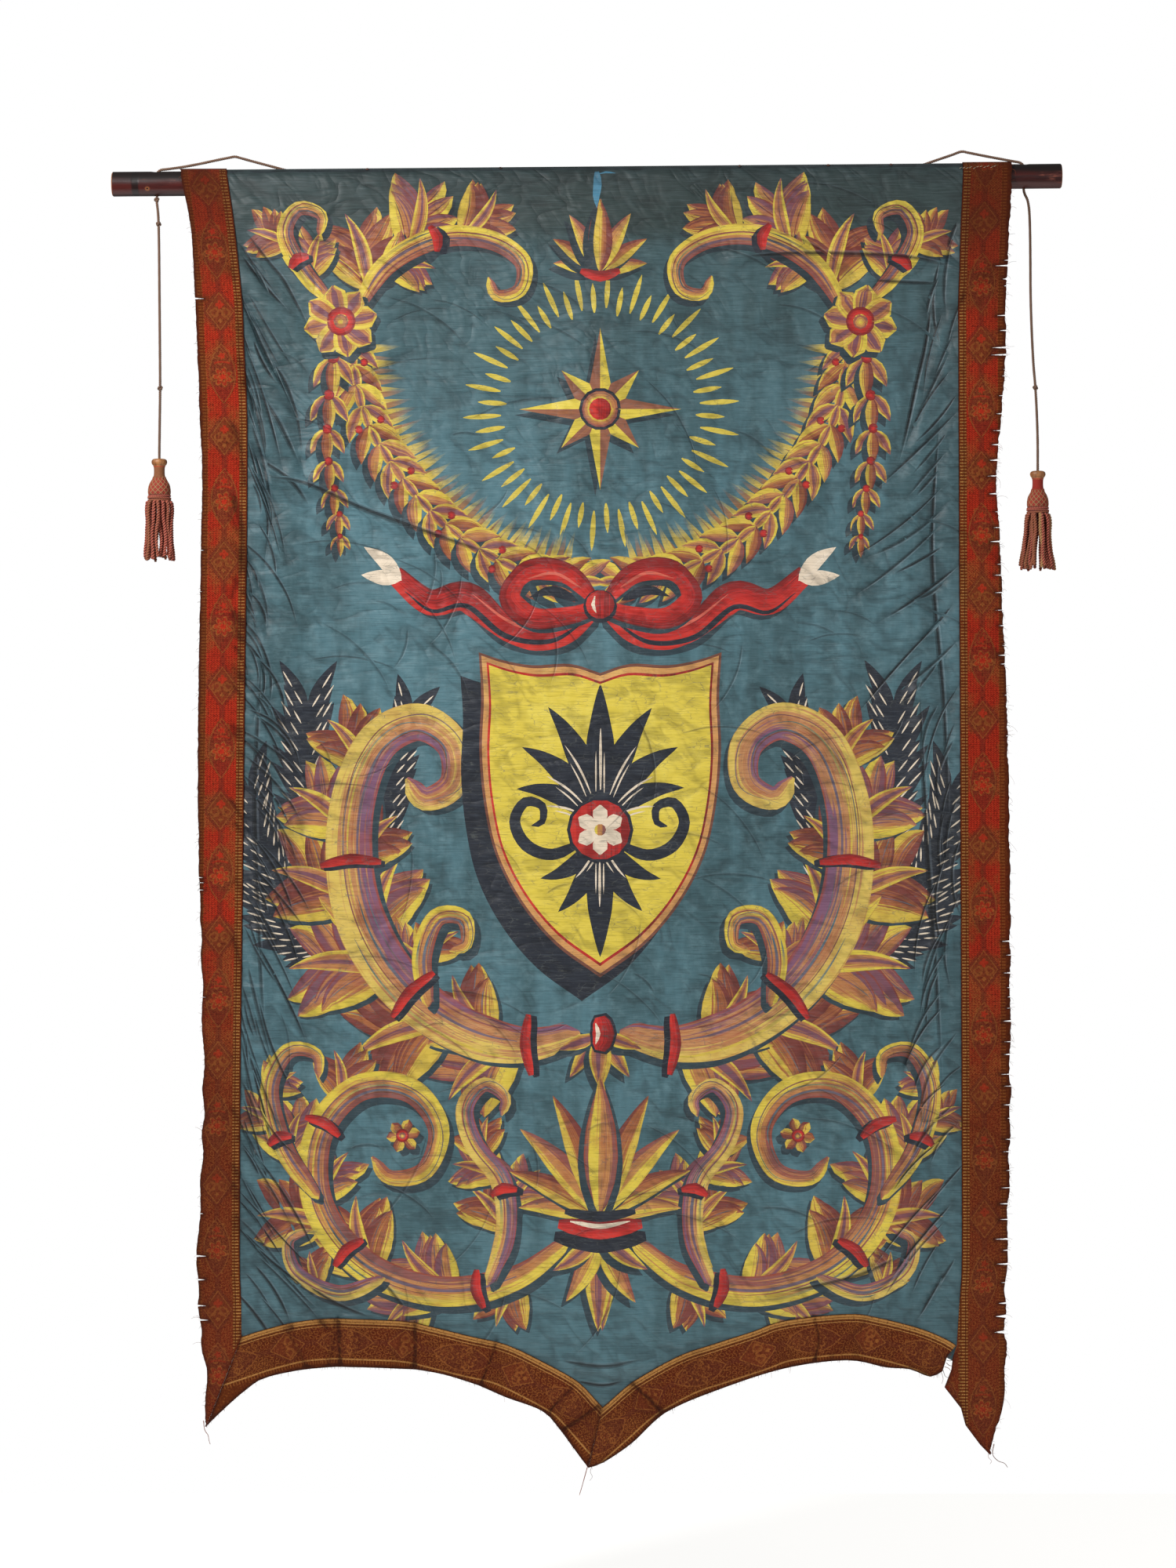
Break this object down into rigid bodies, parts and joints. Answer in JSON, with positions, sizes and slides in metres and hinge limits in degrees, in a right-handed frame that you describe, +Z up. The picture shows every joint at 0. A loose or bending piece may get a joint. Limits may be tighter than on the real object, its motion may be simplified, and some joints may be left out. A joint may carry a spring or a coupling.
{
  "type": "heraldic banner on a pole",
  "caption": "Painted cloth wall banner with a woven ribbon border and an arched, pointed hem, hung from a round wooden pole by cords with tassels.",
  "frame": {"origin": "halfway between the two wall nails that the cords hang on, in the upright plane of the pole's axis", "axes": "+Z up, the painted side faces -Y, the wall lies towards +Y, +X to the right seen from the front"},
  "size_m": [1.4583, 0.0605, 2.0652],
  "materials": {
    "painted_cloth": "worn teal cotton sateen with hand painted ornament",
    "galloon": "woven rust and red ribbon with ochre figures, frayed",
    "pole_wood": "dark red-brown varnish, scuffed",
    "tack_iron": "rusted",
    "cord_twine": "twisted brown cord",
    "tassel_wood": "turned wood wound with red and tan yarn",
    "tassel_yarn": "twisted dusty pink cords"
  },
  "bodies": {
    "root": {"pole": "pole_wood", "panel": "painted_cloth", "ribbon_left": "galloon", "ribbon_right": "galloon", "band_left": "galloon", "band_right": "galloon", "tack_1": "tack_iron", "tack_2": "tack_iron", "tack_3": "tack_iron", "tack_4": "tack_iron", "tack_5": "tack_iron", "cord_left": "cord_twine", "cord_right": "cord_twine", "knot_left_stop": "cord_twine", "knot_left_upper": "cord_twine", "knot_left_lower": "cord_twine", "knot_left_end": "cord_twine", "knot_right_lower": "cord_twine", "knot_right_end": "cord_twine", "tassel_head_left": "tassel_wood", "tassel_head_right": "tassel_wood", "tassel_skirt_left": "tassel_yarn", "tassel_skirt_right": "tassel_yarn"}
  },
  "joints": []
}
